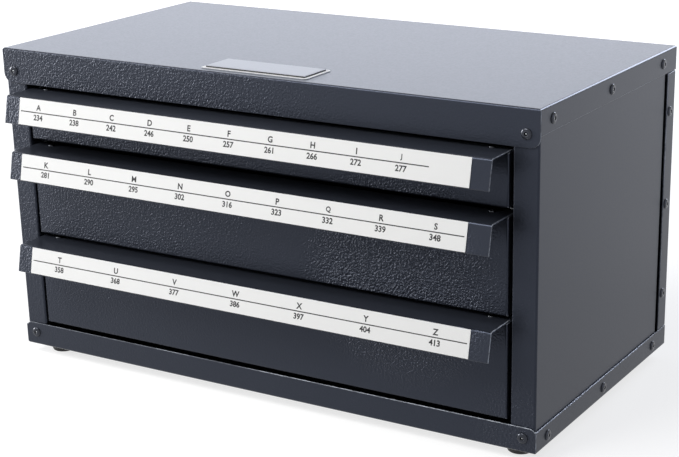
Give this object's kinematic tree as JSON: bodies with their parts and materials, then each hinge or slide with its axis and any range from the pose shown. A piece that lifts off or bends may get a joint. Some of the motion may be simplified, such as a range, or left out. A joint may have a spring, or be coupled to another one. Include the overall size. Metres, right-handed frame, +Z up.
{
  "type": "drill bit dispenser cabinet",
  "caption": "Bench-top steel cabinet whose three full-width drawers slide out on side runners; dividers split each scooped tray into compartments for twist drills.",
  "frame": {"origin": "on the surface that the feet stand on, in the middle of the outline from above", "axes": "+X to the right as one faces the drawers, +Y to the back, +Z up"},
  "size_m": [0.3736, 0.2178, 0.2035],
  "materials": {
    "cabinet_enamel": "dark slate-grey semi-gloss textured enamel",
    "tray_enamel": "dark slate-grey semi-gloss enamel",
    "runner_steel": "zinc-plated sheet steel",
    "painted_rivet": "dark slate-grey enamel over blind rivets",
    "bright_rivet": "bare bright rivet heads",
    "label_paper": "smooth white paper strip",
    "rubber": "matt black rubber"
  },
  "bodies": {
    "cabinet": {"top_cover": "cabinet_enamel", "bottom_pan": "cabinet_enamel", "side_panel_right": "cabinet_enamel", "side_panel_left": "cabinet_enamel", "back_panel": "cabinet_enamel", "guide_panel_right": "cabinet_enamel", "guide_panel_left": "cabinet_enamel", "cover_rivets": "painted_rivet", "pan_rivets": "painted_rivet", "back_panel_rivets": "painted_rivet", "feet": "rubber", "runner_bottom_right": "runner_steel", "runner_bottom_left": "runner_steel", "runner_middle_right": "runner_steel", "runner_middle_left": "runner_steel", "runner_top_right": "runner_steel", "runner_top_left": "runner_steel"},
    "drawer_top": {"front_top": "cabinet_enamel", "pull_top": "cabinet_enamel", "label_top": "label_paper", "pull_rivets_top": "bright_rivet", "tray_top": "tray_enamel", "divider_top_1": "tray_enamel", "divider_top_2": "tray_enamel", "divider_top_3": "tray_enamel", "divider_top_4": "tray_enamel", "divider_top_5": "tray_enamel", "divider_top_6": "tray_enamel", "divider_top_7": "tray_enamel", "divider_top_8": "tray_enamel", "divider_top_9": "tray_enamel", "divider_top_10": "tray_enamel"},
    "drawer_middle": {"front_middle": "cabinet_enamel", "pull_middle": "cabinet_enamel", "label_middle": "label_paper", "pull_rivets_middle": "bright_rivet", "tray_middle": "tray_enamel", "divider_middle_1": "tray_enamel", "divider_middle_2": "tray_enamel", "divider_middle_3": "tray_enamel", "divider_middle_4": "tray_enamel", "divider_middle_5": "tray_enamel", "divider_middle_6": "tray_enamel", "divider_middle_7": "tray_enamel", "divider_middle_8": "tray_enamel"},
    "drawer_bottom": {"front_bottom": "cabinet_enamel", "pull_bottom": "cabinet_enamel", "label_bottom": "label_paper", "pull_rivets_bottom": "bright_rivet", "tray_bottom": "tray_enamel", "divider_bottom_1": "tray_enamel", "divider_bottom_2": "tray_enamel", "divider_bottom_3": "tray_enamel", "divider_bottom_4": "tray_enamel", "divider_bottom_5": "tray_enamel", "divider_bottom_6": "tray_enamel"}
  },
  "joints": [
    {"name": "drawer_top_slide", "type": "slide", "parent": "cabinet", "child": "drawer_top", "axis": [0, -1, 0], "range_m": [0, 0.15]},
    {"name": "drawer_middle_slide", "type": "slide", "parent": "cabinet", "child": "drawer_middle", "axis": [0, -1, 0], "range_m": [0, 0.15]},
    {"name": "drawer_bottom_slide", "type": "slide", "parent": "cabinet", "child": "drawer_bottom", "axis": [0, -1, 0], "range_m": [0, 0.15]}
  ]
}
